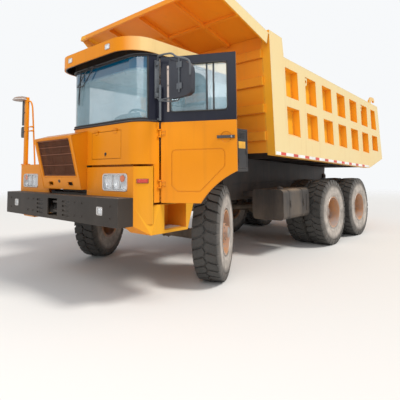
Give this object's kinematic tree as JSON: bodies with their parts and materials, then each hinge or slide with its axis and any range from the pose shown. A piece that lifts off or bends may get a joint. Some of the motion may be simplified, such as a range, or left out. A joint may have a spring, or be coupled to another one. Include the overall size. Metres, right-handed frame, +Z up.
{
  "type": "mining dump truck",
  "caption": "Wide-body mining dump truck with a left-side cab, steered front wheels, twin rear wheels, an opening door and a tipping ribbed body.",
  "frame": {"origin": "on the ground, midway between the two front kingpins", "axes": "+X forward, +Y to the truck's left, +Z up"},
  "size_m": [9.2584, 4.1935, 4.2802],
  "materials": {
    "orange_paint": "dusty gloss",
    "body_paint": "dusty satin",
    "chassis_paint": "dusty satin",
    "bumper_paint": "satin",
    "grille_paint": "satin",
    "lamp_lens": "clear lens",
    "cab_dark_paint": "gloss",
    "glass": "tinted",
    "dark_plastic": "matt",
    "seat_fabric": "woven",
    "engine_paint": "matt",
    "axle_paint": "dusty",
    "hoist_steel": "ground",
    "rim_paint": "dusty",
    "tyre": "dusty",
    "grab_paint": "satin"
  },
  "bodies": {
    "root": {"frame": "chassis_paint", "cross_members": "chassis_paint", "tail_beam": "chassis_paint", "tow_jaw": "chassis_paint", "cab_beams": "chassis_paint", "grab_bar": "grab_paint", "bumper": "bumper_paint", "hood": "orange_paint", "grille": "grille_paint", "fender_left": "orange_paint", "fender_right": "orange_paint", "headlamps": "lamp_lens", "lamps": "lamp_lens", "cab_body": "orange_paint", "cab_frame": "cab_dark_paint", "cab_roof": "orange_paint", "windscreen": "glass", "cab_windows": "glass", "dashboard": "dark_plastic", "seats": "seat_fabric", "engine": "engine_paint", "front_axle": "axle_paint", "leaf_springs": "axle_paint", "drive_axles": "axle_paint", "bogie": "axle_paint", "propshafts": "axle_paint", "fuel_tank": "chassis_paint", "side_boxes": "chassis_paint", "mirror_left": "dark_plastic", "mirror_right": "dark_plastic"},
    "door": {"door_panel": "orange_paint", "door_handle": "dark_plastic", "door_frame": "cab_dark_paint", "door_glass": "glass"},
    "flap": {"service_flap": "orange_paint"},
    "knuckle_left": {"knuckle_left": "axle_paint"},
    "knuckle_right": {"knuckle_right": "axle_paint"},
    "tie_rod": {"tie_rod": "axle_paint"},
    "wheel_front_left": {"front_rim_left": "rim_paint", "front_tyre_left": "tyre"},
    "wheel_front_right": {"front_rim_right": "rim_paint", "front_tyre_right": "tyre"},
    "wheels_mid_left": {"mid_rims_left": "rim_paint", "mid_tyres_left": "tyre"},
    "wheels_mid_right": {"mid_rims_right": "rim_paint", "mid_tyres_right": "tyre"},
    "wheels_rear_left": {"rear_rims_left": "rim_paint", "rear_tyres_left": "tyre"},
    "wheels_rear_right": {"rear_rims_right": "rim_paint", "rear_tyres_right": "tyre"},
    "dump_body": {"body_floor": "body_paint", "body_beams": "chassis_paint", "body_sides": "body_paint", "tail_hooks": "body_paint", "body_front": "body_paint", "cab_guard": "body_paint"},
    "hoist_barrel": {"hoist_barrel": "chassis_paint"},
    "hoist_sleeve": {"hoist_sleeve": "hoist_steel"},
    "hoist_rod": {"hoist_rod": "hoist_steel"}
  },
  "joints": [
    {"name": "steer_left", "type": "hinge", "parent": "root", "child": "knuckle_left", "pos_m": [0, 1.216, 0.685], "axis": [0, 0, 1], "range_deg": [-60.5, 7.5]},
    {"name": "steer_right", "type": "hinge", "parent": "root", "child": "knuckle_right", "pos_m": [0, -1.216, 0.685], "axis": [0, 0, 1], "range_deg": [-60.5, 7.5]},
    {"name": "tie_rod_pivot", "type": "hinge", "parent": "knuckle_left", "child": "tie_rod", "pos_m": [-0.17899, 1.12676, 0.565], "axis": [0, 0, 1], "range_deg": [-7.5, 60.5]},
    {"name": "roll_front_left", "type": "hinge", "parent": "knuckle_left", "child": "wheel_front_left", "pos_m": [-0.05845, 1.33324, 0.685], "axis": [-0.4462, 0.8949, 0], "continuous": true},
    {"name": "roll_front_right", "type": "hinge", "parent": "knuckle_right", "child": "wheel_front_right", "pos_m": [0.05845, -1.33324, 0.685], "axis": [-0.4462, 0.8949, 0], "continuous": true},
    {"name": "roll_mid_left", "type": "hinge", "parent": "root", "child": "wheels_mid_left", "pos_m": [-3.675, 1.295, 0.685], "axis": [0, 1, 0], "continuous": true},
    {"name": "roll_mid_right", "type": "hinge", "parent": "root", "child": "wheels_mid_right", "pos_m": [-3.675, -1.295, 0.685], "axis": [0, 1, 0], "continuous": true},
    {"name": "roll_rear_left", "type": "hinge", "parent": "root", "child": "wheels_rear_left", "pos_m": [-5.265, 1.295, 0.685], "axis": [0, 1, 0], "continuous": true},
    {"name": "roll_rear_right", "type": "hinge", "parent": "root", "child": "wheels_rear_right", "pos_m": [-5.265, -1.295, 0.685], "axis": [0, 1, 0], "continuous": true},
    {"name": "door_swing", "type": "hinge", "parent": "root", "child": "door", "pos_m": [1.3, 1.614, 2], "axis": [0, 0, -1], "range_deg": [-62, 8]},
    {"name": "flap_lift", "type": "hinge", "parent": "root", "child": "flap", "pos_m": [1.586, 0.918, 2.092], "axis": [0, -1, 0], "range_deg": [0, 85]},
    {"name": "body_tip", "type": "hinge", "parent": "root", "child": "dump_body", "pos_m": [-6.05, 0, 1.4], "axis": [0, -1, 0], "range_deg": [0, 45]},
    {"name": "hoist_tilt", "type": "hinge", "parent": "root", "child": "hoist_barrel", "pos_m": [-0.7, 0, 1.11], "axis": [0, -1, 0], "range_deg": [0, 30]},
    {"name": "hoist_sleeve_slide", "type": "slide", "parent": "hoist_barrel", "child": "hoist_sleeve", "axis": [0, 0, 1], "range_m": [0, 1.99]},
    {"name": "hoist_rod_slide", "type": "slide", "parent": "hoist_sleeve", "child": "hoist_rod", "axis": [0, 0, 1], "range_m": [0, 1.99]}
  ],
  "couplings": [
    {"joint": "steer_right", "follows": "steer_left", "ratio": 1},
    {"joint": "tie_rod_pivot", "follows": "steer_left", "ratio": -1},
    {"joint": "hoist_tilt", "follows": "body_tip", "ratio": 0.6427},
    {"joint": "hoist_sleeve_slide", "follows": "body_tip", "m_per_rad": 2.5136},
    {"joint": "hoist_rod_slide", "follows": "body_tip", "m_per_rad": 2.5136}
  ]
}
